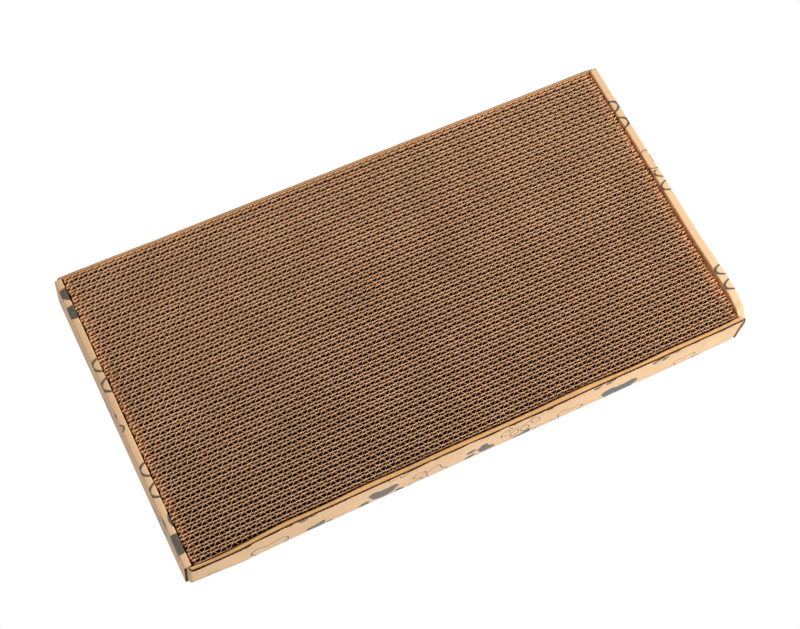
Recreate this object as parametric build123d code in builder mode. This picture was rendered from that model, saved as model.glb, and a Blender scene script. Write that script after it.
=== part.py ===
"""Cardboard cat scratcher: a pad of corrugated strips standing on edge in a folded card tray.

The frame has X along the strips, Y from the front wall to the back wall and Z up.
The origin is on the table, under the middle of the tray. All sizes are millimetres.
"""
import math
import os

from build123d import *

# Pad: strips of double-wall corrugated board, glued face to face and standing on edge
strip_count = 42
strip_length = 450.0
strip_height = 35.5
strip_thickness = 5.65
liner_thickness = 0.35
flute_depth = 2.85
glue_line = 0.05
flutes_drawn = 37  # in one row a strip; the board has 58 in that row, and a second, finer row
end_ragged = 1.4

# Tray: one blank of thin card, creased and folded up round the pad
card = 1.5
crease_radius = 0.4
rim_rise = 1.5
wall_rise = 1.0
tab_length = 55.0
tab_chamfer = 7.0

# Clearances
pad_side_clearance = 0.1
pad_left_clearance = 0.7
pad_right_clearance = 1.3
tab_clearance = 0.25
leaf_clearance = 0.2

# Shares of a span, which step along the stack so that no two neighbours look alike
left_end_step_share = 0.618
right_end_step_share = 0.755
flute_step_share = 0.271
least_flute_start_share = 0.2
flute_start_spread_share = 0.6

# Pad, worked out
pad_width = strip_count * strip_thickness
backing_thickness = strip_thickness - liner_thickness - glue_line - flute_depth
pad_base = card
pad_top = pad_base + strip_height

# Tray, worked out
outer_radius = crease_radius + card
leaf_gap = card + 2 * tab_clearance
end_thickness = 2 * card + leaf_gap
inner_length = pad_left_clearance + strip_length + pad_right_clearance
inner_width = pad_width + 2 * (crease_radius + pad_side_clearance)
half_length = inner_length / 2 + end_thickness
half_width = inner_width / 2 + card
crease_x = half_length - outer_radius
crease_y = half_width - outer_radius
rim_top = pad_top + rim_rise
wall_top = pad_top + wall_rise
tab_x = half_length - card - tab_clearance
wall_half_span = tab_x - outer_radius
tab_bottom = outer_radius + tab_clearance
tab_top = rim_top - card - tab_clearance
leaf_bottom = pad_base + leaf_clearance

pad_left = -inner_length / 2 + pad_left_clearance
pad_right = pad_left + strip_length
pad_back = pad_width / 2


def stepped_share(number, step_share):
    """Share between 0 and 1 that jumps about from one strip to the next."""
    return math.fmod(number * step_share, 1)


def save(name, label):
    """Label a finished piece and write it under its own name."""
    name.part.label = label
    export_step(name.part, f"parts/{label}.step")


def make_base_panel():
    """Floor of the tray, between the four creases."""
    with BuildPart() as base_panel:
        with BuildSketch():
            Rectangle(2 * crease_x, 2 * crease_y)
        extrude(amount=card)
    save(base_panel, "base_panel")


def make_long_wall(label, side):
    """Single wall that folds up from the base, at the front (-1) or the back (1)."""
    with BuildPart() as long_wall:
        with BuildSketch(Plane.YZ):
            with BuildLine():
                crease = JernArc((side * crease_y, 0), (side, 0), outer_radius, side * 90)
                Line(crease @ 1, (side * half_width, wall_top))
                offset(amount=card, side=Side.LEFT if side > 0 else Side.RIGHT)
            make_face()
        extrude(amount=wall_half_span, both=True)
    save(long_wall, label)


def make_end_wall(label, end):
    """Double wall that rolls over at its rim and turns down inside, at the left (-1) or right (1)."""
    with BuildPart() as end_wall:
        with BuildSketch(Plane.XZ):
            with BuildLine():
                crease = JernArc((end * crease_x, 0), (end, 0), outer_radius, end * 90)
                outer_leaf = Line(crease @ 1, (end * half_length, rim_top - outer_radius))
                rim_edge = JernArc(outer_leaf @ 1, (0, 1), outer_radius, end * 90)
                rim = Line(rim_edge @ 1, (end * (half_length - end_thickness + outer_radius), rim_top))
                rim_inner_edge = JernArc(rim @ 1, (-end, 0), outer_radius, end * 90)
                Line(rim_inner_edge @ 1, (end * (half_length - end_thickness), leaf_bottom))
                offset(amount=card, side=Side.LEFT if end > 0 else Side.RIGHT)
            make_face()
        extrude(amount=crease_y, both=True)
        # The outer leaf runs on past the rim, to the faces of the front and back walls
        with BuildSketch(Plane.XY.offset(outer_radius)):
            with Locations((end * (half_length - card / 2), 0)):
                Rectangle(card, 2 * half_width)
        extrude(amount=rim_top - 2 * outer_radius)
    save(end_wall, label)


def make_corner_tab(label, end, side):
    """Tab on the end of a long wall, trapped between the two leaves of an end wall."""
    turn = -end * side
    with BuildPart() as corner_tab:
        with BuildSketch(Plane.XY.offset(tab_bottom)):
            with BuildLine():
                crease = JernArc((end * wall_half_span, side * half_width), (end, 0), outer_radius, turn * 90)
                Line(crease @ 1, (end * tab_x, side * (half_width - tab_length)))
                offset(amount=card, side=Side.LEFT if turn > 0 else Side.RIGHT)
            make_face()
        extrude(amount=tab_top - tab_bottom)
        free_end = corner_tab.faces().filter_by(Axis.Y).sort_by(Axis.Y)[-1 if side < 0 else 0]
        chamfer(free_end.edges().filter_by(Axis.X), length=tab_chamfer)
    save(corner_tab, label)


def flute_outline(left, right, valley_y, crest_y, start_share):
    """Points of a row of V flutes from one strip end to the other, part flutes at both ends."""
    half_pitch = (right - left) / (2 * flutes_drawn)
    points = [(left, crest_y + start_share * (valley_y - crest_y))]
    for turn in range(2 * flutes_drawn):
        points.append((left + (turn + start_share) * half_pitch, valley_y if turn % 2 else crest_y))
    points.append((right, crest_y + start_share * (valley_y - crest_y)))
    return points


def make_strip(number):
    """One strip: a backing with a row of open flutes on its front, closed by the front liner."""
    left = pad_left + end_ragged * stepped_share(number, left_end_step_share)
    right = pad_right - end_ragged * stepped_share(number, right_end_step_share)
    back_y = pad_back - (number - 1) * strip_thickness
    valley_y = back_y - backing_thickness
    crest_y = valley_y - flute_depth
    liner_y = crest_y - glue_line
    front_y = liner_y - liner_thickness
    start_share = least_flute_start_share + flute_start_spread_share * stepped_share(number, flute_step_share)
    with BuildPart() as strip:
        with BuildSketch(Plane.XY.offset(pad_base)):
            with BuildLine():
                flutes = flute_outline(left, right, valley_y, crest_y, start_share)
                Polyline((left, back_y), *flutes, (right, back_y), close=True)
            make_face()
            with BuildLine():
                Polyline((left, liner_y), (right, liner_y), (right, front_y), (left, front_y), close=True)
            make_face()
        extrude(amount=strip_height)
    save(strip, f"strip_{number:02d}")


os.makedirs("parts", exist_ok=True)

make_base_panel()
for wall_label, wall_side in (("front_wall", -1), ("back_wall", 1)):
    make_long_wall(wall_label, wall_side)
for wall_label, wall_end in (("left_end_wall", -1), ("right_end_wall", 1)):
    make_end_wall(wall_label, wall_end)
for side_label, tab_side in (("front", -1), ("back", 1)):
    for end_label, tab_end in (("left", -1), ("right", 1)):
        make_corner_tab(f"{side_label}_{end_label}_tab", tab_end, tab_side)
for strip_number in range(1, strip_count + 1):
    make_strip(strip_number)
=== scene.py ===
"""Cardboard cat scratcher: a corrugated pad lying loose in a folded, printed card tray.

Everything is in metres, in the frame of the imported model: X along the strips, Y from the front
wall to the back wall, Z up, with the origin on the table under the middle of the tray.
"""
import logging
import math
import random
from collections.abc import Callable, Sequence
from dataclasses import dataclass, field
from enum import Enum, IntEnum

import bmesh
import bpy
from mathutils import Matrix, Vector, noise


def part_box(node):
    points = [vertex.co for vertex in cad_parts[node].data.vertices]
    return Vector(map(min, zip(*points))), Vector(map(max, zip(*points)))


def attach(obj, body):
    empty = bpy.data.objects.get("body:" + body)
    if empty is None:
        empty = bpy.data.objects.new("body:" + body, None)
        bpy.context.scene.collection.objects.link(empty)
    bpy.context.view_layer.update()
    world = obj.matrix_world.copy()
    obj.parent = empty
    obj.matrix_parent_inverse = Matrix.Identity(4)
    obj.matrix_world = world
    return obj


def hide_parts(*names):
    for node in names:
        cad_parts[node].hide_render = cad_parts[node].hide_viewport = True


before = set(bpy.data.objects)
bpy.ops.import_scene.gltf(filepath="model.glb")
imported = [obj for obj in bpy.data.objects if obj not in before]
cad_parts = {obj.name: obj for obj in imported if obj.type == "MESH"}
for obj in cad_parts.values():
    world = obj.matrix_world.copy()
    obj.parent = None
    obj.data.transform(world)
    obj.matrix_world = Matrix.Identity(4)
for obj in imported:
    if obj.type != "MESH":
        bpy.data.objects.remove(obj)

MM = 0.001
IMAGE_WIDTH = 800

Pair = tuple[float, float]
Triple = tuple[float, float, float]
Colour = tuple[float, float, float, float]
Place = Callable[[float, float], Vector]
Socket = bpy.types.NodeSocket
Material = bpy.types.Material
Piece = bpy.types.Object

WHITE: Colour = (1.0, 1.0, 1.0, 1.0)

log = logging.getLogger("cat_scratcher")


def srgb(red: int, green: int, blue: int) -> Colour:
    """Turn a colour as it is seen on screen into the linear values that shaders take.

    Args:
        red: Red from 0 to 255.
        green: Green from 0 to 255.
        blue: Blue from 0 to 255.

    Returns:
        The three linear values, and an alpha of 1.
    """
    def linear(level: int) -> float:
        """Linear value of one channel."""
        share = level / 255
        return share / 12.92 if share <= 0.04045 else ((share + 0.055) / 1.055) ** 2.4
    return linear(red), linear(green), linear(blue), 1.0


def ripple(x: float, y: float, z: float = 0.0) -> float:
    """Smooth, repeatable noise between about -1 and 1."""
    return noise.noise(Vector((x, y, z)))


def smooth_step(low: float, high: float, value: float) -> float:
    """Share between 0 and 1 that eases in and out as value goes from low to high."""
    share = min(1.0, max(0.0, (value - low) / (high - low)))
    return share * share * (3 - 2 * share)


def spread(low: float, high: float, count: int) -> list[float]:
    """Evenly spaced values from low to high, count steps apart."""
    return [low + (high - low) * step / count for step in range(count + 1)]


def put(name: str, data: bpy.types.ID) -> Piece:
    """Make an object of some data and add it to the scene, at the origin.

    Args:
        name: Name of the object.
        data: Its mesh, lamp or camera.

    Returns:
        The new object.
    """
    piece = bpy.data.objects.new(name, data)
    bpy.context.scene.collection.objects.link(piece)
    return piece


class Graph:
    """Short way to place and link shader nodes in one node tree."""

    def __init__(self, tree: bpy.types.NodeTree) -> None:
        """Start on an emptied tree.

        Args:
            tree: Node tree of a material, a world or a group.
        """
        self.tree = tree
        tree.nodes.clear()

    def add(self, kind: str, inputs: dict | None = None, **settings: object) -> bpy.types.Node:
        """Place a node.

        Args:
            kind: Node type, such as ShaderNodeMath.
            inputs: Socket name or number to a value or to an output socket that feeds it.
            settings: Attributes of the node.

        Returns:
            The new node.
        """
        node = self.tree.nodes.new(kind)
        for name, value in settings.items():
            setattr(node, name, value)
        for key, value in (inputs or {}).items():
            if isinstance(value, Socket):
                self.tree.links.new(value, node.inputs[key])
            else:
                node.inputs[key].default_value = value
        return node

    def math(self, operation: str, *values: object) -> Socket:
        """Place a Math node and return its output."""
        return self.add("ShaderNodeMath", dict(enumerate(values)), operation=operation).outputs[0]

    def mix(self, share: object, first: object, second: object) -> Socket:
        """Mix two colours, each a value or a socket, by the share of the second."""
        return self.add("ShaderNodeMix", {0: share, 6: first, 7: second}, data_type="RGBA").outputs[2]

    def noise(self, vector: Socket, scale: float, detail: float) -> Socket:
        """Place a Noise texture and return its value."""
        return self.add("ShaderNodeTexNoise", {"Vector": vector, "Scale": scale, "Detail": detail}).outputs[0]

    def stretch(self, vector: Socket, scale: Triple) -> Socket:
        """Scale a coordinate differently along its axes."""
        return self.add("ShaderNodeMapping", {"Vector": vector, "Scale": scale}).outputs[0]

    def remap(self, value: Socket, low: float, high: float) -> Socket:
        """Map low..high to 0..1, held at both ends."""
        return self.add("ShaderNodeMapRange", {0: value, 1: low, 2: high}).outputs[0]

    def seen(self) -> Socket:
        """Mask of the rays that see the white surroundings, and not of those that light the object."""
        rays = self.add("ShaderNodeLightPath").outputs
        return self.math("MAXIMUM", rays["Is Camera Ray"],
                         self.math("MAXIMUM", rays["Is Glossy Ray"], rays["Is Transmission Ray"]))

    def coat(self, colour: Socket, roughness: object, normal: Socket) -> None:
        """Finish a material with a Principled shader.

        Args:
            colour: Base colour.
            roughness: Roughness, as a value or a socket.
            normal: Normal of the surface.
        """
        shader = self.add("ShaderNodeBsdfPrincipled",
                          {"Base Color": colour, "Roughness": roughness, "Normal": normal})
        self.add("ShaderNodeOutputMaterial", {"Surface": shader.outputs[0]})


def new_material(name: str) -> tuple[Material, Graph]:
    """Make a material with an empty node tree.

    Args:
        name: Name of the material.

    Returns:
        The material and its graph.
    """
    material = bpy.data.materials.new(name)
    material.use_nodes = True
    return material, Graph(material.node_tree)


def group_shell(name: str, inputs: dict[str, str],
                outputs: dict[str, str]) -> tuple[Graph, dict, bpy.types.Node]:
    """Make an empty shader node group with named sockets.

    Args:
        name: Name of the group.
        inputs: Input names to socket types.
        outputs: Output names to socket types.

    Returns:
        The graph to fill, the group's input sockets by name, and its output node.
    """
    tree = bpy.data.node_groups.new(name, "ShaderNodeTree")
    for direction, sockets in (("INPUT", inputs), ("OUTPUT", outputs)):
        for socket_name, socket_type in sockets.items():
            tree.interface.new_socket(name=socket_name, in_out=direction, socket_type=socket_type)
    graph = Graph(tree)
    entry = graph.add("NodeGroupInput")
    return graph, {socket.name: socket for socket in entry.outputs}, graph.add("NodeGroupOutput")


@dataclass(frozen=True)
class Oval:
    """One oval of a paw print, in shares of the print's width, turned by degrees."""

    x: float
    y: float
    wide: float
    tall: float
    turn: float


class SharedEffects:
    """Node groups that several finishes use, each built once."""

    CLOUD_SCALE = 28.0
    CLOUD_SHARE = 0.45
    ALONG_SCALE, ALONG_STRETCH = 900.0, (0.25, 1.0, 1.0)
    ACROSS_SCALE, ACROSS_STRETCH = 700.0, (1.0, 0.3, 0.3)
    FLECK_SCALE, FLECK_STRETCH = 1500.0, (0.5, 1.0, 1.0)
    FLECK_RANGE = (0.68, 0.76)
    HEEL = (Oval(0.0, -0.17, 0.25, 0.19, 0.0), Oval(-0.17, -0.27, 0.15, 0.12, 25.0),
            Oval(0.17, -0.27, 0.15, 0.12, -25.0))
    TOES = (Oval(-0.38, 0.06, 0.10, 0.155, 24.0), Oval(-0.13, 0.28, 0.10, 0.17, 7.0),
            Oval(0.38, 0.06, 0.10, 0.155, -24.0), Oval(0.13, 0.28, 0.10, 0.17, -7.0))

    def __init__(self) -> None:
        """Build both groups."""
        self.fibre = self._paper_fibre()
        self.paw = self._paw_mark()

    def _paper_fibre(self) -> bpy.types.NodeTree:
        """Kraft paper's clouds, fibres and flecks.

        Returns:
            A group that gives a tone around 0.5, a mask of dark flecks and a height.
        """
        graph, given, out = group_shell(
            "paper_fibre", {"Vector": "NodeSocketVector"},
            {"Tone": "NodeSocketFloat", "Flecks": "NodeSocketFloat", "Height": "NodeSocketFloat"})
        where = given["Vector"]
        clouds = graph.noise(where, self.CLOUD_SCALE, 3.0)
        along = graph.noise(graph.stretch(where, self.ALONG_STRETCH), self.ALONG_SCALE, 2.0)
        across = graph.noise(graph.stretch(where, self.ACROSS_STRETCH), self.ACROSS_SCALE, 2.0)
        grain = graph.math("MULTIPLY", graph.math("ADD", along, across), 0.5)
        tone = graph.math("ADD", graph.math("MULTIPLY", clouds, self.CLOUD_SHARE),
                          graph.math("MULTIPLY", grain, 1 - self.CLOUD_SHARE))
        specks = graph.noise(graph.stretch(where, self.FLECK_STRETCH), self.FLECK_SCALE, 1.0)
        flecks = graph.remap(specks, *self.FLECK_RANGE)
        graph.tree.links.new(tone, out.inputs["Tone"])
        graph.tree.links.new(flecks, out.inputs["Flecks"])
        graph.tree.links.new(grain, out.inputs["Height"])
        return graph.tree

    def _paw_mark(self) -> bpy.types.NodeTree:
        """Distance to the outline of a plain paw print, one unit wide, toes towards +Y.

        Returns:
            A group that gives the distance, negative inside the mark.
        """
        graph, given, out = group_shell(
            "paw_mark", {"Vector": "NodeSocketVector"}, {"Distance": "NodeSocketFloat"})
        nearest = None
        for oval in self.HEEL + self.TOES:
            local = graph.add(
                "ShaderNodeMapping",
                {"Vector": given["Vector"], "Location": (oval.x, oval.y, 0.0),
                 "Rotation": (0.0, 0.0, math.radians(oval.turn)), "Scale": (oval.wide, oval.tall, 1.0)},
                vector_type="TEXTURE").outputs[0]
            reach = graph.add("ShaderNodeVectorMath", {0: local}, operation="LENGTH").outputs["Value"]
            size = min(oval.wide, oval.tall)
            distance = graph.math("MULTIPLY_ADD", reach, size, -size)
            nearest = distance if nearest is None else graph.math("MINIMUM", nearest, distance)
        graph.tree.links.new(nearest, out.inputs["Distance"])
        return graph.tree


class PawStyle(Enum):
    """How a paw print is drawn."""

    FILLED = "filled_print"
    OUTLINED = "outlined_print"


@dataclass(frozen=True)
class Paw:
    """One paw print on a wall's outer face: its centre and width in millimetres, its turn in degrees."""

    along: float
    up: float
    width: float
    turn: float
    style: PawStyle

    def local(self, along: float, up: float) -> Vector:
        """Where a point of the blank, in metres, lies on a print one unit wide."""
        offset = Vector((along / MM - self.along, up / MM - self.up)) / self.width
        return Matrix.Rotation(math.radians(-self.turn), 2) @ offset


def paws(filled: Sequence[tuple[float, ...]], outlined: Sequence[tuple[float, ...]]) -> list[Paw]:
    """Gather a wall's prints.

    Args:
        filled: Place along, place up, width and turn of each filled print.
        outlined: The same of each outlined print.

    Returns:
        The prints of both styles.
    """
    return [Paw(*given, style) for style, group in zip(PawStyle, (filled, outlined)) for given in group]


@dataclass(frozen=True)
class PaperFinish:
    """Bare paper or card: a colour with fibres, clouds and flecks."""

    TONE_RANGE = (0.35, 0.65)
    FLECK_COVER = 0.6
    FIBRE_HEIGHT = 0.2 * MM

    name: str
    light: Colour
    dark: Colour
    fleck: Colour
    roughness: float
    bump: float

    def material(self, effects: SharedEffects) -> Material:
        """Make the material.

        Args:
            effects: The shared node groups.

        Returns:
            The new material.
        """
        material, graph = new_material(self.name)
        colour, normal = self.surface(graph, effects)
        graph.coat(colour, self.roughness, normal)
        return material

    def surface(self, graph: Graph, effects: SharedEffects) -> tuple[Socket, Socket]:
        """Place the nodes of the paper itself.

        Args:
            graph: The material's graph.
            effects: The shared node groups.

        Returns:
            The colour and the normal.
        """
        place = graph.add("ShaderNodeTexCoord").outputs["Object"]
        fibre = graph.add("ShaderNodeGroup", node_tree=effects.fibre)
        graph.tree.links.new(place, fibre.inputs["Vector"])
        tone = graph.remap(fibre.outputs["Tone"], *self.TONE_RANGE)
        colour = graph.mix(tone, self.dark, self.light)
        flecks = graph.math("MULTIPLY", fibre.outputs["Flecks"], self.FLECK_COVER)
        colour = graph.mix(flecks, colour, self.fleck)
        bump = graph.add("ShaderNodeBump", {"Strength": self.bump, "Distance": self.FIBRE_HEIGHT,
                                            "Height": fibre.outputs["Height"]})
        return colour, bump.outputs[0]


@dataclass(frozen=True)
class CellFinish:
    """Paper of the strips: its own colour along the cut edges and on the outside, with a painted shade that
    darkens it down in the cells.
    """

    # Depths where the paper's own colour ends and the painted shade begins, in from the strips' ends and from
    # the pad's long sides
    SIDE_DEPTHS = ((2.5 * MM, 8.0 * MM), (0.35 * MM, 0.7 * MM))

    paper: PaperFinish
    # Colour of the painted shade down in the cells
    painted_shade: Colour
    # Depths below the top and above the bottom where the painted shade starts and where it is full
    pale_depth: float
    dark_depth: float

    def material(self, low: Sequence[float], high: Sequence[float],
                 effects: SharedEffects) -> Material:
        """Make the material.

        Args:
            low: Lowest corner of the pad.
            high: Highest corner of the pad.
            effects: The shared node groups.

        Returns:
            The new material.
        """
        material, graph = new_material(self.paper.name)
        colour, normal = self.paper.surface(graph, effects)
        place = graph.add("ShaderNodeTexCoord").outputs["Object"]
        axes = graph.add("ShaderNodeSeparateXYZ", {0: place}).outputs
        # This mask is 1 where the paper keeps its own colour: near the top and bottom, the strips' ends and
        # the pad's long sides; elsewhere a painted shade darkens the cells.
        unshaded = 0.0
        for axis, start, end, (pale, dark) in zip(
                axes, low, high, (*self.SIDE_DEPTHS, (self.pale_depth, self.dark_depth))):
            away = graph.math("ABSOLUTE", graph.math("SUBTRACT", axis, (start + end) / 2))
            half = (end - start) / 2
            unshaded = graph.math("MAXIMUM", unshaded, graph.remap(away, half - dark, half - pale))
        graph.coat(graph.mix(unshaded, self.painted_shade, colour), self.paper.roughness, normal)
        return material


@dataclass(frozen=True)
class PrintedFinish:
    """Card with paw prints in one ink."""

    WEAR_SCALE = 1200.0
    WEAR_RANGE = (0.2, 0.5)
    LEAST_COVER = 0.75

    card: PaperFinish
    ink: Colour
    line_share: float
    soft_share: float
    ink_roughness: float

    def material(self, name: str, effects: SharedEffects) -> Material:
        """Make the material, which draws the prints where the two print maps say.

        Args:
            name: Name of the material.
            effects: The shared node groups.

        Returns:
            The new material.
        """
        material, graph = new_material(name)
        colour, normal = self.card.surface(graph, effects)
        marks = {}
        for style in PawStyle:
            flat = graph.add("ShaderNodeUVMap", uv_map=style.value).outputs[0]
            marks[style] = graph.add("ShaderNodeGroup", {"Vector": flat}, node_tree=effects.paw).outputs[0]
        line = graph.math("SUBTRACT", graph.math("ABSOLUTE", marks[PawStyle.OUTLINED]), self.line_share / 2)
        nearest = graph.math("MINIMUM", marks[PawStyle.FILLED], line)
        cover = graph.remap(nearest, self.soft_share, -self.soft_share)
        place = graph.add("ShaderNodeTexCoord").outputs["Object"]
        worn = graph.remap(graph.noise(place, self.WEAR_SCALE, 2.0), *self.WEAR_RANGE)
        kept = graph.math("MULTIPLY_ADD", worn, 1 - self.LEAST_COVER, self.LEAST_COVER)
        cover = graph.math("MULTIPLY", cover, kept)
        roughness = graph.math("MULTIPLY_ADD", cover, self.ink_roughness - self.card.roughness,
                               self.card.roughness)
        graph.coat(graph.mix(cover, colour, self.ink), roughness, normal)
        return material


class SheetMesh:
    """Thin sheets of paper, gathered in one mesh, with a UV map for each style of print."""

    NO_PRINT = Vector((9.0, 9.0))

    def __init__(self) -> None:
        """Start an empty mesh."""
        self.bm = bmesh.new()
        self.maps = {style: self.bm.loops.layers.uv.new(style.value) for style in PawStyle}

    def add(self, across: list[float], up: list[float], place: Place, thickness: float,
            face_slot: int, edge_slot: int, paws: Sequence[Paw] = ()) -> None:
        """Add one sheet.

        Args:
            across: Stations along the sheet's length.
            up: Stations along its height.
            place: Where the point at two stations lies, on the sheet's outer face.
            thickness: Thickness, laid on the inner side of that face.
            face_slot: Material slot of both faces.
            edge_slot: Material slot of the cut edges.
            paws: Prints on the sheet.
        """
        first_face = len(self.bm.faces)
        columns, rows = len(across) - 1, len(up) - 1
        grid = bmesh.ops.create_grid(self.bm, x_segments=columns, y_segments=rows, size=0.5)
        stations = {}
        for vert in grid["verts"]:
            stations[vert] = (across[round((vert.co.x + 0.5) * columns)], up[round((vert.co.y + 0.5) * rows)])
        for vert, station in stations.items():
            vert.co = place(*station)
        self.bm.faces.ensure_lookup_table()
        faces = self.bm.faces[first_face:]
        for face in faces:
            self._lay_prints(face, stations, paws)
        self.bm.normal_update()
        bmesh.ops.solidify(self.bm, geom=faces, thickness=thickness)
        self.bm.faces.ensure_lookup_table()
        for face in self.bm.faces[first_face:]:
            old_corners = sum(vert in stations for vert in face.verts)
            if 0 < old_corners < len(face.verts):
                face.material_index = edge_slot
                for edge in face.edges:
                    edge.smooth = False
            else:
                face.material_index = face_slot
                face.smooth = True

    def _lay_prints(self, face: bmesh.types.BMFace, stations: dict[bmesh.types.BMVert, Pair],
                    paws: Sequence[Paw]) -> None:
        """Map a face onto the nearest print of each style.

        Args:
            face: The face.
            stations: Where its corners lie on the flat sheet.
            paws: Prints on the sheet.
        """
        corners = [stations[vert] for vert in face.verts]
        middle = [sum(values) / len(corners) for values in zip(*corners)]
        for style, layer in self.maps.items():
            near = min((paw for paw in paws if paw.style is style),
                       key=lambda paw: paw.local(*middle).length, default=None)
            for loop in face.loops:
                loop[layer].uv = near.local(*stations[loop.vert]) if near else self.NO_PRINT

    def finish(self, name: str, materials: list[Material], turn: float = 0.0) -> Piece:
        """Turn the sheets into a piece.

        Args:
            name: Name of the piece.
            materials: Its material slots.
            turn: Turn about the upright axis, in degrees.

        Returns:
            The new object, at the origin.
        """
        bmesh.ops.recalc_face_normals(self.bm, faces=self.bm.faces[:])
        turned = Matrix.Rotation(math.radians(turn), 4, "Z")
        bmesh.ops.transform(self.bm, matrix=turned, verts=self.bm.verts[:])
        mesh = bpy.data.meshes.new(name)
        self.bm.to_mesh(mesh)
        self.bm.free()
        for material in materials:
            mesh.materials.append(material)
        return put(name, mesh)


@dataclass
class Flutes:
    """One wavy paper layer between two liners."""

    pitch: float
    height: float
    start: float
    segments: int


class PadSlot(IntEnum):
    """Material slots of a strip."""

    FLUTE = 0
    EDGE = 1
    LINER = 2


@dataclass
class ScratchPad:
    """The stack of double-wall strips, each with three liners and two rows of flutes.

    Fields that end in waves say how fine a wobble is, in noise cells to a metre.
    """

    outer_liner: float = 0.11 * MM
    middle_liner: float = 0.15 * MM
    medium: float = 0.13 * MM
    small_row: float = 2.2 * MM
    small_pitch: float = 5.65 * MM
    large_pitch: float = 7.80 * MM
    frayed_depth: float = 3.0 * MM
    top_wobble: float = 0.16 * MM
    edge_wobble: float = 0.14 * MM
    drift: float = 0.10 * MM
    end_wobble: float = 0.3 * MM
    bulge: float = 1.5 * MM
    bulge_middle: float = -98.0 * MM
    bulge_reach: float = 32.0 * MM
    large_segments: int = 12
    small_segments: int = 10
    liner_steps: int = 90
    liner_wobble_share: float = 0.4
    liner_edge_waves: float = 160.0
    liner_top_waves: float = 90.0
    flute_edge_waves: float = 260.0
    flute_top_waves: float = 110.0
    drift_waves: float = 14.0
    drift_step: float = 0.13
    pitch_wander: float = 0.04
    pitch_waves: float = 40.0
    crest_share: float = 1 / 14
    crest_height: float = 0.93
    seed: int = 11
    seed_span: float = 50.0

    def build(self, materials: list[Material]) -> list[Piece]:
        """Build every strip in the frame.

        Args:
            materials: Flute paper, cut edge and liner paper.

        Returns:
            The strips, from the back to the front.
        """
        names = sorted(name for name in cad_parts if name.startswith("strip_"))
        return [self._strip(name, number, materials) for number, name in enumerate(names)]

    def _strip(self, node: str, number: int, materials: list[Material]) -> Piece:
        """Build one strip in the place of its CAD node.

        Args:
            node: Name of the CAD node.
            number: Place in the stack, counted from the back.
            materials: Flute paper, cut edge and liner paper.

        Returns:
            The strip.
        """
        low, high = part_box(node)
        dice = random.Random(self.seed + number)
        large_row = (high[1] - low[1]) - 2 * self.outer_liner - self.middle_liner - self.small_row
        mesh = SheetMesh()
        middle_y = low[1] + self.outer_liner + large_row
        layers = (
            (low[1], self.outer_liner, None),
            (low[1] + self.outer_liner, self.medium,
             Flutes(self.large_pitch, large_row, dice.random(), self.large_segments)),
            (middle_y, self.middle_liner, None),
            (middle_y + self.middle_liner, self.medium,
             Flutes(self.small_pitch, self.small_row, dice.random(), self.small_segments)),
            (high[1] - self.outer_liner, self.outer_liner, None),
        )
        for front_y, thickness, flutes in layers:
            left = low[0] + self.end_wobble * dice.random()
            right = high[0] - self.end_wobble * dice.random()
            right += self.bulge * smooth_step(self.bulge_reach, 0.0, abs(front_y - self.bulge_middle))
            heights = [low[2], high[2] - self.frayed_depth, high[2]]
            seed = dice.uniform(0.0, self.seed_span)
            steps, slot = self.liner_steps, PadSlot.LINER
            if flutes:
                steps, slot = round((right - left) / flutes.pitch * flutes.segments), PadSlot.FLUTE
            place = self._place(front_y, flutes, number, seed, high[2])
            mesh.add(spread(left, right, steps), heights, place, thickness, slot, PadSlot.EDGE)
        piece = mesh.finish(f"pad_{node}", materials)
        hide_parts(node)
        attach(piece, "pad")
        return piece

    def _drift(self, x: float, number: int) -> float:
        """How far a strip wanders sideways at a station."""
        return self.drift * ripple(x * self.drift_waves, number * self.drift_step)

    def _place(self, front_y: float, flutes: Flutes | None, number: int, seed: float, top: float) -> Place:
        """Say where the front face of a layer lies.

        Args:
            front_y: Place of the layer's front across the pad.
            flutes: Its flutes, or None for a liner.
            number: The strip's place in the stack.
            seed: Seed of its wobble.
            top: Height of the cut top.

        Returns:
            The point at a station along the strip and a height.
        """
        def liner(x: float, z: float) -> Vector:
            """Point of a flat layer at a station."""
            y = front_y + self._drift(x, number)
            if z >= top:
                y += self.liner_wobble_share * self.edge_wobble * ripple(x * self.liner_edge_waves, seed)
                z += self.top_wobble * ripple(x * self.liner_top_waves, seed, 4.0)
            return Vector((x, y, z))

        def wavy(x: float, z: float) -> Vector:
            """Point of a fluted layer at a station."""
            turn = x / flutes.pitch + flutes.start + self.pitch_wander * ripple(x * self.pitch_waves, seed)
            angle = 2 * math.pi * turn
            wave = (math.sin(angle) + math.sin(3 * angle) * self.crest_share) / self.crest_height
            swing = (flutes.height - self.medium) / 2
            y = front_y + swing * (1 + min(1.0, max(-1.0, wave))) + self._drift(x, number)
            if z >= top:
                y += self.edge_wobble * ripple(x * self.flute_edge_waves, seed, 2.0) * (1 - abs(wave))
                z += self.top_wobble * ripple(x * self.flute_top_waves, seed, 9.0)
            return Vector((x, y, z))

        return wavy if flutes else liner


@dataclass(frozen=True)
class TraySizes:
    """Sizes of the folded tray, read from the frame."""

    half_length: float
    half_width: float
    base_x: float
    base_y: float
    card: float
    rim_top: float
    inner_x: float
    wall_top: float
    tab_x: float
    tab_end_y: float
    tab_bottom: float
    tab_top: float

    @classmethod
    def from_frame(cls) -> "TraySizes":
        """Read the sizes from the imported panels.

        Returns:
            The sizes.
        """
        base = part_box("base_panel")[1]
        end_low, end_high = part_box("right_end_wall")
        tab_low, tab_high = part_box("front_right_tab")
        return cls(half_length=end_high[0], half_width=end_high[1], base_x=base[0], base_y=base[1],
                   card=base[2], rim_top=end_high[2], inner_x=end_low[0],
                   wall_top=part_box("front_wall")[1][2], tab_x=tab_high[0], tab_end_y=tab_high[1],
                   tab_bottom=tab_low[2], tab_top=tab_high[2])


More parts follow.
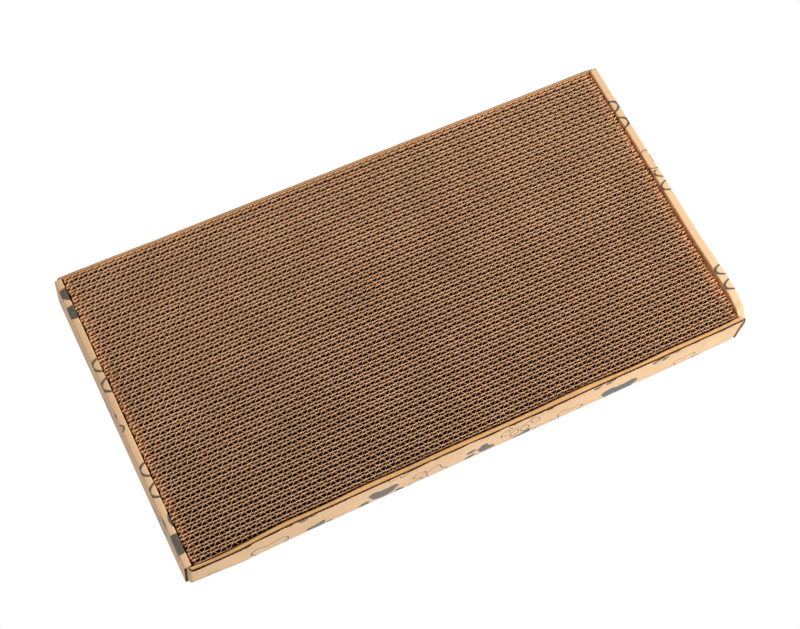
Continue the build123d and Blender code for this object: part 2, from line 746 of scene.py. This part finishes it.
class FoldPath:
    """Outline of one layer of a folded sheet, with right-angle bends to the left."""

    BEND_STEPS = 5
    LEAST_RADIUS = 0.15 * MM

    def __init__(self, start: Pair, heading: Pair, spans: list[float],
                 radius: float, inward: float) -> None:
        """Lay out the path.

        Args:
            start: First point of the sheet's outer face, in the plane of the fold.
            heading: First direction.
            spans: Lengths of the outer face from corner to corner.
            radius: Radius of the outer face at the bends.
            inward: Depth of this layer in the sheet, to the left of the outer face.
        """
        self.runs: list[tuple[float, float, Vector, Vector, float]] = []
        bend = max(radius - inward, self.LEAST_RADIUS)
        forward = Vector(heading)
        left = Vector((-forward.y, forward.x))
        point = Vector(start) + left * inward
        length = 0.0
        for number, span in enumerate(spans):
            first, last = number == 0, number == len(spans) - 1
            run = span - (inward + bend) * (2 - first - last)
            self.runs.append((length, length + run, point, forward, 0.0))
            length += run
            point = point + forward * run
            if not last:
                arc = bend * math.pi / 2
                self.runs.append((length, length + arc, point, forward, bend))
                length += arc
                left = Vector((-forward.y, forward.x))
                point = point + (forward + left) * bend
                forward = left
        self.length = length

    def stations(self, step: float) -> list[float]:
        """Choose lengths along the path: even steps on the runs, a few on each bend.

        Args:
            step: Longest step on a run.

        Returns:
            The lengths, from the start to the end.
        """
        found = [0.0]
        for begin, end, _, _, bend in self.runs:
            count = self.BEND_STEPS if bend else max(1, math.ceil((end - begin) / step))
            found += spread(begin, end, count)[1:]
        return found

    def at(self, length: float) -> tuple[Vector, Vector]:
        """Find a point of the path.

        Args:
            length: Length along the path.

        Returns:
            The point, and the direction to the inside of the sheet.
        """
        for begin, end, start, forward, bend in self.runs:
            if length <= end:
                break
        left = Vector((-forward.y, forward.x))
        if not bend:
            return start + forward * (length - begin), left
        angle = (length - begin) / bend
        inside = left * math.cos(angle) - forward * math.sin(angle)
        return start + left * bend - inside * bend, inside


@dataclass(frozen=True)
class Dent:
    """A soft push on a wall: its middle along the wall and above the table, its reach and its way, in mm."""

    along: float
    up: float
    reach_along: float
    reach_up: float
    push: Triple

    def move(self, along: float, up: float) -> Vector:
        """Way that a point of the wall is moved, in metres."""
        away = math.hypot((along / MM - self.along) / self.reach_along, (up / MM - self.up) / self.reach_up)
        return Vector(self.push) * MM * smooth_step(1.0, 0.0, away)


@dataclass(frozen=True)
class EdgeDip:
    """A torn dip in the top edge of a wall's outer liner, in millimetres."""

    FLAT_SHARE = 0.55

    along: float
    width: float
    depth: float

    def drop(self, along: float) -> float:
        """How far the edge lies below its line, in metres."""
        away = abs(along / MM - self.along) * 2 / self.width
        return self.depth * MM * smooth_step(1.0, self.FLAT_SHARE, away)


class LongSide(Enum):
    """A long wall of the tray, and its turn about the upright axis from the front."""

    FRONT = 0.0
    BACK = 180.0


class ShortSide(Enum):
    """An end wall of the tray, and its turn about the upright axis from the right."""

    RIGHT = 0.0
    LEFT = 180.0


@dataclass(frozen=True)
class EndShape:
    """How an end wall has settled: its outer leaf's set back, its rim's added width and its droop outside."""

    set_back: float
    widening: float
    droop: float


@dataclass(frozen=True)
class EdgeWear:
    """How a long wall's top edge is worn: each layer's stand back, the outer liner's tears, and a roll."""

    stand_backs: Triple
    tear: float
    peel: float
    roll_radius: float
    roll_hook: float


class TraySlot(IntEnum):
    """Material slots of a wall of the tray."""

    PRINTED = 0
    BARE = 1
    EDGE = 2
    CORE = 3


@dataclass(frozen=True)
class CardLayer:
    """One layer of the fluted card: its depth, thickness and material slot, and its stand back on a leaf."""

    inward: float
    thickness: float
    slot: TraySlot
    stand_back: float
    ragged: float
    flute_swing: float = 0.0


@dataclass
class FoldedTray:
    """The card tray: single long walls with corner tabs, and roll-over end walls.

    Fields that end in waves say how fine a wobble is, in noise cells to a metre.
    """

    sizes: TraySizes
    liner: float = 0.28 * MM
    flute_pitch: float = 3.2 * MM
    flute_step: float = 0.53 * MM
    crease_radius: float = 0.8 * MM
    corner_radius: float = 3.0 * MM
    core_stand_back: float = 1.3 * MM
    ragged: float = 0.45 * MM
    roll_end_radius: float = 0.55 * MM
    roll_rise: float = 1.1 * MM
    roll_wander: float = 1.6 * MM
    roll_step: float = 1.2 * MM
    wall_step: float = 1.2 * MM
    bow: float = 0.5 * MM
    lean: float = 0.9 * MM
    bulge: float = 2.4 * MM
    rim_wave: float = 0.25 * MM
    leaf_hold: float = 0.35
    medium_share: float = 0.6
    corner_fade: float = 40.0 * MM
    section_step: float = 6.0 * MM
    top_band: float = 3.0 * MM
    top_steps: int = 6
    ragged_waves: Pair = (55.0, 230.0)
    ragged_share: float = 0.6
    tear_waves: float = 95.0
    tear_range: Pair = (0.1, 0.6)
    bow_waves: float = 11.0
    bow_rest: float = 0.4
    lean_foot: float = 0.06
    peel_waves: float = 70.0
    peel_start: float = 0.85
    roll_waves: Pair = (45.0, 210.0)
    roll_shares: Pair = (0.35, 0.25)
    roll_wander_waves: float = 19.0
    roll_lift: float = 0.4 * MM
    roll_lift_waves: float = 24.0
    roll_turn: Pair = (-70.0, 215.0)
    roll_turn_steps: int = 10
    leaf_clearance: float = 0.2 * MM
    leaf_start: float = 2.0 * MM
    leaf_waves: Pair = (90.0, 300.0)
    leaf_share: float = 0.5
    rim_fade: float = 1.0 * MM
    rim_waves: float = 16.0
    droop_middle: float = 0.75
    end_step: float = 4.0 * MM
    end_columns: int = 100
    ends: dict[ShortSide, EndShape] = field(default_factory=dict)
    wear: dict[LongSide, EdgeWear] = field(default_factory=dict)
    paws: dict[Enum, list[Paw]] = field(default_factory=dict)
    dents: dict[Enum, list[Dent]] = field(default_factory=dict)
    dips: dict[Enum, list[EdgeDip]] = field(default_factory=dict)

    def layers(self) -> list[CardLayer]:
        """Work out the layers of the card.

        Returns:
            The outer liner, the fluted core and the inner liner.
        """
        core = self.sizes.card - 2 * self.liner
        medium = self.liner * self.medium_share
        swing = (core - medium) / 2
        return [CardLayer(0.0, self.liner, TraySlot.PRINTED, 0.0, self.ragged),
                CardLayer(self.liner + swing, medium, TraySlot.CORE, self.core_stand_back, self.ragged,
                          swing),
                CardLayer(self.sizes.card - self.liner, self.liner, TraySlot.BARE, 0.0, self.ragged / 2)]

    @property
    def half_wall(self) -> float:
        """Half the length of a long wall's flat part."""
        return self.sizes.tab_x - self.corner_radius

    def _push(self, side: Enum, along: float, up: float) -> Vector:
        """How far a wall's dents move a point of it, in metres."""
        return sum((dent.move(along, up) for dent in self.dents.get(side, ())), Vector((0.0, 0.0, 0.0)))

    def build_long_wall(self, side: LongSide, materials: list[Material]) -> Piece:
        """Build the front or back wall with the tabs at its two ends.

        Args:
            side: Which long wall.
            materials: Printed face, bare face, cut edge and core.

        Returns:
            The wall.
        """
        mesh = SheetMesh()
        for number, layer in enumerate(self.layers()):
            self._add_long_layer(mesh, side, layer, number)
        if self.wear[side].roll_radius:
            self._add_rolled_edge(mesh, side)
        label = side.name.lower()
        piece = mesh.finish(f"tray_{label}_wall", materials, side.value)
        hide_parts(f"{label}_wall", f"{label}_left_tab", f"{label}_right_tab")
        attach(piece, "tray")
        return piece

    def _add_long_layer(self, mesh: SheetMesh, side: LongSide, layer: CardLayer, number: int) -> None:
        """Lay one layer of a long wall: a plan path round both corners, and a section up from the base.

        Args:
            mesh: Where the layer goes.
            side: Which long wall.
            layer: The layer.
            number: Its number, for its own ragged edge.
        """
        sizes = self.sizes
        tab_span = sizes.half_width + sizes.tab_end_y
        plan = FoldPath((-sizes.tab_x, sizes.tab_end_y), (0.0, -1.0), [tab_span, 2 * sizes.tab_x, tab_span],
                        self.corner_radius, layer.inward)
        foot = sizes.half_width - sizes.base_y
        section = FoldPath((-foot, 0.0), (1.0, 0.0), [foot, sizes.wall_top], self.crease_radius, layer.inward)
        half_wall = self.half_wall
        corner_arc = self.corner_radius * math.pi / 2
        seed = side.value + 7.0 * number
        rise = sizes.wall_top - layer.inward
        pad_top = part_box("strip_01")[1][2]
        wear = self.wear[side]

        def place(along: float, up: float) -> Vector:
            """Point of the layer at a station."""
            spot, inside = plan.at(along + plan.length / 2)
            outward, height = section.at(up)[0]
            share = (height - layer.inward) / rise
            wall = 1.0 - smooth_step(0.0, corner_arc, abs(along) - half_wall)
            edge = wear.stand_backs[number]
            coarse, fine = (ripple(along * waves, seed) for waves in self.ragged_waves)
            edge += layer.ragged * (coarse + self.ragged_share * fine)
            if layer.slot is TraySlot.PRINTED:
                edge += sum(dip.drop(along) for dip in self.dips.get(side, ()))
                torn = ripple(along * self.tear_waves, side.value + 9.0)
                edge += wear.tear * smooth_step(*self.tear_range, torn)
            height = layer.inward + share * (rise - edge)
            tab_height = sizes.tab_bottom + share * (sizes.tab_top - sizes.tab_bottom)
            height = tab_height + (height - tab_height) * wall
            outward = (outward + layer.inward) * wall
            outward += layer.flute_swing * math.sin(2 * math.pi * along / self.flute_pitch)
            bow = self.bow_rest + ripple(along * self.bow_waves, side.value + 5.0)
            outward += wall * self.bow * share ** 2 * bow
            middle = smooth_step(half_wall, half_wall - self.corner_fade, abs(along))
            lean = self.lean + (self.bulge - self.lean) * middle
            outward += wall * lean * smooth_step(0.0, self.lean_foot, share) * (1 - share)
            if layer.slot is TraySlot.PRINTED:
                peel = wear.peel * (1 + ripple(along * self.peel_waves, seed))
                outward += wall * peel * smooth_step(self.peel_start, 1.0, share)
            spot = spot - inside * outward
            point = Vector((spot.x, spot.y, height))
            if layer.slot is TraySlot.BARE and wear.roll_radius:
                hooked = wall * smooth_step(pad_top, sizes.wall_top, height)
                point.y += hooked * (self._roll(side, along)[0].y - point.y)
            point += self._push(side, along, height) * wall
            end = 1 if along > 0 else -1
            push = self._push(self._end_beside(side, end), end * point.y, height) * (1 - wall)
            return point + Vector((end * push.x, end * push.y, push.z))

        across = [length - plan.length / 2 for length in plan.stations(
            self.flute_step if layer.flute_swing else self.wall_step)]
        up = section.stations(self.section_step)
        up += spread(up.pop() - self.top_band, section.length, self.top_steps)
        mesh.add(across, up, place, layer.thickness, layer.slot,
                 layer.slot if layer.flute_swing else TraySlot.EDGE,
                 self.paws[side] if layer.slot is TraySlot.PRINTED else ())

    def _roll(self, side: LongSide, along: float) -> tuple[Vector, float]:
        """Find the roll along the top of a long wall.

        Args:
            side: Which long wall.
            along: Station along it.

        Returns:
            The roll's middle and its radius.
        """
        wear, seed = self.wear[side], side.value
        full = smooth_step(self.half_wall, self.half_wall - self.corner_fade, abs(along))
        radius = self.roll_end_radius + (wear.roll_radius - self.roll_end_radius) * full
        radius *= 1 + sum(share * ripple(along * waves, seed)
                          for share, waves in zip(self.roll_shares, self.roll_waves))
        inside = wear.roll_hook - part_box("strip_01")[1][1] - radius
        wander = self.roll_wander * ripple(along * self.roll_wander_waves, seed + 2.0)
        lift = self.roll_rise * full + self.roll_lift * ripple(along * self.roll_lift_waves, seed + 4.0)
        return Vector((along, inside + wander, self.sizes.wall_top + lift)), radius

    def _add_rolled_edge(self, mesh: SheetMesh, side: LongSide) -> None:
        """Lay the crushed inner liner that rolls over the top of a long wall, from the outside in.

        Args:
            mesh: Where the roll goes.
            side: Which long wall.
        """
        def place(along: float, turn: float) -> Vector:
            """Point of the roll at a station, with the turn in degrees from outside."""
            middle, radius = self._roll(side, along)
            angle = math.radians(turn)
            point = middle + radius * Vector((0.0, -math.cos(angle), math.sin(angle)))
            return point + self._push(side, along, point.z)

        across = spread(-self.half_wall, self.half_wall, round(2 * self.half_wall / self.roll_step))
        mesh.add(across, spread(*self.roll_turn, self.roll_turn_steps), place, self.liner,
                 TraySlot.BARE, TraySlot.EDGE)

    @staticmethod
    def _end_beside(side: LongSide, end: int) -> ShortSide:
        """End wall that traps a long wall's tab, at its right end (1) or left end (-1) seen from outside."""
        return ShortSide.RIGHT if (end > 0) == (side is LongSide.FRONT) else ShortSide.LEFT

    def build_end_wall(self, side: ShortSide, materials: list[Material]) -> Piece:
        """Build a roll-over end wall: outer leaf, rim and inner leaf.

        Args:
            side: Which end wall.
            materials: Printed face, bare face, cut edge and core.

        Returns:
            The wall.
        """
        mesh = SheetMesh()
        for number, layer in enumerate(self.layers()):
            self._add_end_layer(mesh, side, layer, number)
        label = side.name.lower()
        piece = mesh.finish(f"tray_{label}_end", materials, side.value)
        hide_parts(f"{label}_end_wall")
        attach(piece, "tray")
        return piece

    def _add_end_layer(self, mesh: SheetMesh, side: ShortSide, layer: CardLayer, number: int) -> None:
        """Lay one layer of an end wall: a section up, over the rim and down inside.

        Args:
            mesh: Where the layer goes.
            side: Which end wall.
            layer: The layer.
            number: Its number, for its own ragged edge.
        """
        sizes = self.sizes
        spans = [sizes.half_length - sizes.base_x, sizes.rim_top, sizes.half_length - sizes.inner_x,
                 sizes.rim_top - sizes.card - self.leaf_clearance]
        section = FoldPath((sizes.base_x, 0.0), (1.0, 0.0), spans, self.crease_radius, layer.inward)
        rim_start, rim_end = section.runs[3][0], section.runs[5][1]
        seed = side.value + 7.0 * number + 3.0
        shape = self.ends[side]

        def place(along: float, up: float) -> Vector:
            """Point of the layer at a station."""
            (x, z), inside = section.at(up)
            leaf = smooth_step(0.0, self.leaf_start, up)
            leaf -= smooth_step(rim_start - self.rim_fade, rim_start + self.rim_fade, up)
            reach = sizes.base_y + (sizes.half_width - shape.set_back - sizes.base_y) * leaf
            reach -= layer.stand_back
            coarse, fine = (ripple(up * waves, seed, along) for waves in self.leaf_waves)
            reach += layer.ragged * (coarse + self.leaf_share * fine)
            swing = layer.flute_swing * math.sin(2 * math.pi * up / self.flute_pitch)
            point = Vector((x - inside.x * swing, along / sizes.half_width * reach, z - inside.y * swing))
            high = smooth_step(0.0, sizes.rim_top, z)
            point.z += high * self.rim_wave * ripple(along * self.rim_waves, seed)
            over = smooth_step(rim_start, rim_end, up)
            point.x -= shape.widening * over
            point.z -= shape.droop * high * (self.droop_middle - over) ** 2
            return point + self._push(side, along, z) * (high * (1 - self.leaf_hold * over))

        across = spread(-sizes.half_width, sizes.half_width, self.end_columns)
        up = section.stations(self.flute_step if layer.flute_swing else self.end_step)
        # The end walls' cut edges take the core material, whose dark colour is partly painted shade of the
        # card's hollow edge.
        mesh.add(across, up, place, layer.thickness, layer.slot, TraySlot.CORE,
                 self.paws[side] if layer.slot is TraySlot.PRINTED else ())


@dataclass(frozen=True)
class Lamp:
    """A soft square lamp that faces the object: where it hangs, the length of its sides and its watts."""

    name: str
    place: Triple
    size: float
    power: float

    def hang(self) -> None:
        """Add the lamp to the scene."""
        lamp = bpy.data.lights.new(self.name, "AREA")
        lamp.size = self.size
        lamp.energy = self.power
        holder = put(self.name, lamp)
        holder.location = self.place
        holder.rotation_euler = Vector(self.place).to_track_quat("Z", "Y").to_euler()


@dataclass
class Studio:
    """Pale floor, soft light and the camera at the photograph's viewing angle."""

    camera_place: Triple = (-0.3190, -0.3983, 1.1565)
    camera_target: Triple = (-0.0097, -0.0088, 0.0370)
    camera_roll: float = 13.1
    focal_pixels: float = 1646.8
    sensor_width: float = 36.0
    near_clip: float = 0.01
    floor_size: float = 6.0
    floor_colour: Colour = (0.33, 0.39, 0.45, 1.0)
    world_strength: float = 0.1
    lamps: tuple[Lamp, ...] = (Lamp("key", (1.05, -1.15, 1.4), 0.3, 64.0),
                               Lamp("left_fill", (-1.6, 0.1, 0.25), 0.5, 8.0))

    def build(self) -> None:
        """Set up the world, the floor, the lamps and the camera."""
        bpy.context.scene.view_settings.view_transform = "Standard"
        self._world()
        self._floor()
        for lamp in self.lamps:
            lamp.hang()
        self._camera()

    def _world(self) -> None:
        """White surroundings that light the object evenly."""
        world = bpy.data.worlds.new("studio")
        world.use_nodes = True
        graph = Graph(world.node_tree)
        strength = graph.math("MULTIPLY_ADD", graph.seen(), 1.0 - self.world_strength, self.world_strength)
        light = graph.add("ShaderNodeBackground", {"Color": WHITE, "Strength": strength})
        graph.add("ShaderNodeOutputWorld", {"Surface": light.outputs[0]})
        bpy.context.scene.world = world

    def _floor(self) -> None:
        """White table top, plain white to the camera."""
        bm = bmesh.new()
        bmesh.ops.create_grid(bm, x_segments=1, y_segments=1, size=self.floor_size / 2)
        mesh = bpy.data.meshes.new("table_top")
        bm.to_mesh(mesh)
        bm.free()
        material, graph = new_material("white_table")
        matt = graph.add("ShaderNodeBsdfDiffuse", {"Color": self.floor_colour})
        glow = graph.add("ShaderNodeEmission", {"Color": WHITE, "Strength": 1.0})
        mixed = graph.add("ShaderNodeMixShader", {0: graph.seen(), 1: matt.outputs[0], 2: glow.outputs[0]})
        graph.add("ShaderNodeOutputMaterial", {"Surface": mixed.outputs[0]})
        mesh.materials.append(material)
        floor = put("table_top", mesh)

    def _camera(self) -> None:
        """Place the camera and make it the scene's."""
        lens = bpy.data.cameras.new("camera")
        lens.sensor_fit = "HORIZONTAL"
        lens.sensor_width = self.sensor_width
        lens.lens = self.focal_pixels * self.sensor_width / IMAGE_WIDTH
        lens.clip_start = self.near_clip
        camera = put("camera", lens)
        aim = Vector(self.camera_target) - Vector(self.camera_place)
        roll = Matrix.Rotation(math.radians(self.camera_roll), 3, "Z")
        turn = aim.to_track_quat("-Z", "Y").to_matrix() @ roll
        camera.matrix_world = Matrix.Translation(self.camera_place) @ turn.to_4x4()
        bpy.context.scene.camera = camera


# Strip papers: the last colour of each is the painted shade down in the cells, full 4.7 mm and 4.4 mm below
# the cut top.
FLUTE_PAPER = CellFinish(
    PaperFinish("flute_paper", srgb(246, 194, 142), srgb(220, 168, 118), srgb(96, 60, 28), 0.9, 0.3),
    srgb(16, 5, 2), 0.0, 4.7 * MM)
LINER_PAPER = CellFinish(
    PaperFinish("liner_paper", srgb(244, 194, 144), srgb(216, 166, 118), srgb(96, 60, 28), 0.9, 0.3),
    srgb(8, 2, 1), 0.0, 4.4 * MM)
CUT_EDGE = PaperFinish("cut_edge", srgb(238, 194, 152), srgb(208, 164, 124), srgb(100, 64, 36), 0.95, 0.3)
CARD_EDGE = PaperFinish("card_edge", srgb(244, 200, 158), srgb(220, 174, 132), srgb(140, 98, 60), 0.95, 0.3)
KRAFT = PaperFinish("kraft", srgb(226, 187, 143), srgb(214, 173, 130), srgb(176, 132, 90), 0.7, 0.15)
KRAFT_INSIDE = PaperFinish(
    "kraft_inside", srgb(200, 152, 94), srgb(178, 132, 80), srgb(134, 94, 56), 0.8, 0.25)
# Core paper of the tray's card: its own brown, darkened further as painted shade of the hollows between the
# liners.
CARD_CORE_AND_SHADE = PaperFinish("card_core_and_shade", srgb(112, 72, 38), srgb(88, 55, 28), srgb(60, 38, 20), 0.95, 0.3)
PRINT = PrintedFinish(KRAFT, srgb(72, 66, 58), 0.024, 0.004, 0.42)

# Prints on the flat blank: along the wall from its middle, up from the base edge over the rim, width, turn
WALL_PAWS: dict[Enum, list[Paw]] = {
    LongSide.FRONT: paws(
        filled=[(-140, 48.5, 31, 196), (-129, 6, 25, 196), (-78, 10, 39, 176), (2.5, 12.5, 27, 128),
                (41, 3.5, 26, 205), (102, 49.5, 36, 190), (121.5, 1.5, 50, 178), (157, 46, 32, 165),
                (212, 51.5, 30, 180)],
        outlined=[(-209, -5, 34, 155), (-167, 1, 46, 182), (-65, 49, 34, 172), (-40, 10, 34, 118),
                  (35, 29, 33, 182), (77.5, 4, 35, 170), (181, 6, 30, 185)]),
    ShortSide.LEFT: paws(
        filled=[(-95.8, 62.5, 58, 168), (95.5, 41.8, 42, 90), (-20, 8, 28, 160), (74, 12, 32, 20)],
        outlined=[(-36.5, 67, 62, 180), (4, 25, 36, 10), (51.5, 67.2, 62, 180), (-72, 13, 30, 200)]),
    ShortSide.RIGHT: paws(
        filled=[(-34, 14, 30, 150), (50, 8, 27, 205), (104, 12, 30, 170), (-112, 10, 28, 15)],
        outlined=[(76, 66, 58, 180), (29, 50, 28, 4), (9, 24, 46, -3), (-85, 22, 50, 0)]),
    LongSide.BACK: paws(
        filled=[(-196, 14, 34, 20), (-112, 6, 30, 200), (-30, 10, 28, 150), (52, 9, 33, 30),
                (136, 12, 27, -15), (212, 10, 29, 60)],
        outlined=[(-150, 30, 36, 165), (-70, 26, 38, -25), (14, 30, 40, 185), (98, 24, 36, 205),
                  (176, 22, 38, 170)]),
}

WALL_DENTS: dict[Enum, list[Dent]] = {
    LongSide.FRONT: [
        Dent(-190, 4, 60, 26, (0, -0.8, 0)), Dent(197, 20, 6, 26, (0, -0.4, 0)),
        Dent(-206, 40, 60, 16, (0, -2.6, -1)),
    ],
    ShortSide.RIGHT: [
        Dent(-93, 40, 60, 44, (2.5, 0, 0)), Dent(-30, 40, 160, 44, (1.4, 0, 0)),
        Dent(-124, 40, 23, 44, (-3.5, 0, 0)), Dent(-121, 40, 15, 14, (0, 0, -2.2)),
        Dent(-106, 40, 4.5, 14, (0, 0, -0.9)), Dent(-113, 40, 5, 14, (0.5, 0, 0.9)),
    ],
}

END_SHAPES: dict[ShortSide, EndShape] = {
    ShortSide.RIGHT: EndShape(-0.3 * MM, 0.9 * MM, 0.0),
    ShortSide.LEFT: EndShape(2.0 * MM, 0.3 * MM, 1.8 * MM),
}

EDGE_WEAR: dict[LongSide, EdgeWear] = {
    LongSide.FRONT: EdgeWear((1.4 * MM, 1.6 * MM, -0.8 * MM), 2.4 * MM, 0.5 * MM, 0.85 * MM, 1.0 * MM),
    LongSide.BACK: EdgeWear((0.8 * MM, 2.4 * MM, -0.5 * MM), 0.3 * MM, 0.0, 0.0, 0.0),
}

WALL_DIPS: dict[Enum, list[EdgeDip]] = {
    LongSide.FRONT: [EdgeDip(-193.5, 24, 5.5), EdgeDip(-141, 16, 2), EdgeDip(-112, 10, 1.2),
                     EdgeDip(-58, 14, 1.4), EdgeDip(64, 18, 1), EdgeDip(148, 12, 0.9)],
}


def main() -> None:
    """Build the scratcher and its studio."""
    logging.basicConfig(level=logging.INFO, format="%(message)s")
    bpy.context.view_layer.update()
    Studio().build()
    effects = SharedEffects()
    low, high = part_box("strip_42")[0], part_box("strip_01")[1]
    paper = [FLUTE_PAPER.material(low, high, effects), CUT_EDGE.material(effects),
             LINER_PAPER.material(low, high, effects)]
    for strip in ScratchPad().build(paper):
        log.info("%s: %d faces", strip.name, len(strip.data.polygons))
    bare = KRAFT_INSIDE.material(effects)
    core = CARD_CORE_AND_SHADE.material(effects)
    edge = CARD_EDGE.material(effects)
    printed = PRINT.material("printed_card", effects)
    tray = FoldedTray(TraySizes.from_frame(), ends=END_SHAPES, wear=EDGE_WEAR, paws=WALL_PAWS,
                      dents=WALL_DENTS, dips=WALL_DIPS)
    for side in (*LongSide, *ShortSide):
        build = tray.build_long_wall if isinstance(side, LongSide) else tray.build_end_wall
        piece = build(side, [printed, bare, edge, core])
        log.info("%s: %d faces", piece.name, len(piece.data.polygons))
    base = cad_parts["base_panel"]
    base.data.materials.clear()
    base.data.materials.append(bare)


if __name__ == "__main__":
    main()
